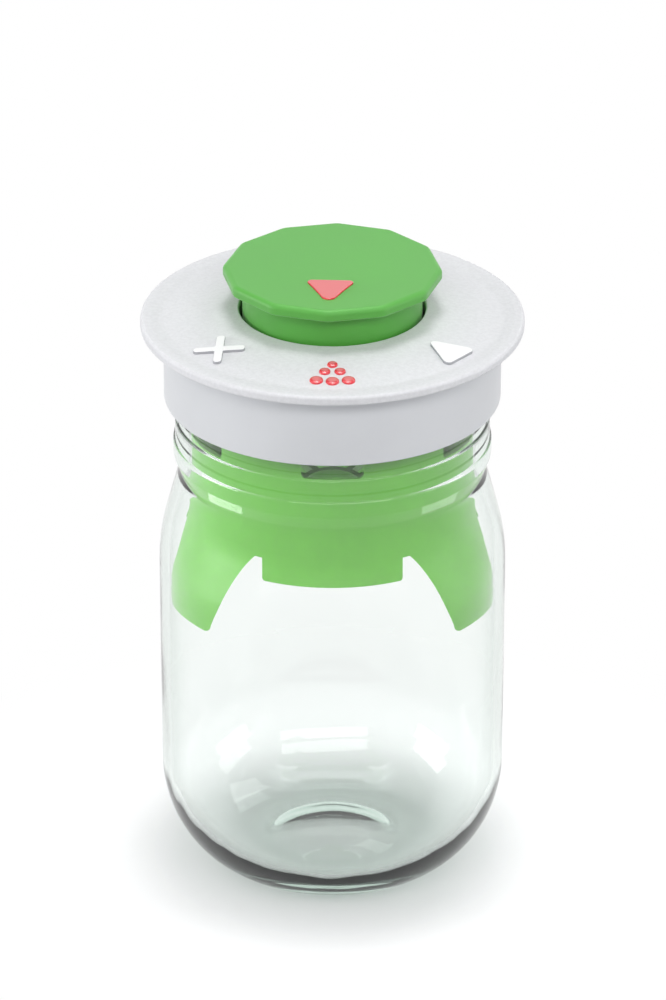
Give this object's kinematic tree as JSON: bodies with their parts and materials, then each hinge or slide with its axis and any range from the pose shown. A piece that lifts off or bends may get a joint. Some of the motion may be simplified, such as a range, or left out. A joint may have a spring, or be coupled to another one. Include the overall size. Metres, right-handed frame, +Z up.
{
  "type": "fermentation jar",
  "caption": "Screw-top glass jar with a flexible press inside and a white cap whose rotary knob closes, vents or opens the gas port.",
  "frame": {"origin": "middle of the jar's base, on the surface that it stands on", "axes": "+Z up along the jar's axis, -Y to the front, where the knob's pointer rests on the dots of the dial"},
  "size_m": [0.1111, 0.111, 0.1924],
  "materials": {
    "clear_glass": "clear pressed glass with a faint green edge",
    "press_green": "satin flexible plastic",
    "silicone": "translucent white silicone",
    "cap_white": "smooth satin white",
    "dial_white": "finely grained white",
    "knob_green": "soft satin green",
    "pointer_red": "glossy red inlay",
    "rotor_white": "smooth white",
    "black_rubber": "black rubber",
    "washer_steel": "spring steel"
  },
  "bodies": {
    "jar": {"glass_jar": "clear_glass"},
    "press": {"press_ring": "press_green", "press_grate": "press_green"},
    "seal": {"rim_gasket": "silicone"},
    "lid": {"screw_cap": "cap_white", "dial_plate": "dial_white", "port_gasket": "silicone"},
    "knob": {"knob": "knob_green", "knob_pointer": "pointer_red", "rotor_disc": "rotor_white", "vent_valve": "silicone", "spindle_o_ring": "black_rubber", "retaining_washer": "washer_steel"}
  },
  "joints": [
    {"name": "press_slide", "type": "slide", "parent": "jar", "child": "press", "axis": [0, 0, 1], "range_m": [-0.06, 0]},
    {"name": "lid_lift", "type": "slide", "parent": "jar", "child": "seal", "axis": [0, 0, 1], "range_m": [0, 0.07]},
    {"name": "lid_turn", "type": "hinge", "parent": "seal", "child": "lid", "pos_m": [0, 0, 0.168], "axis": [0, 0, 1], "range_deg": [0, 120]},
    {"name": "knob_turn", "type": "hinge", "parent": "lid", "child": "knob", "pos_m": [0, 0, 0.17], "axis": [0, 0, 1], "range_deg": [-51, 51]}
  ]
}
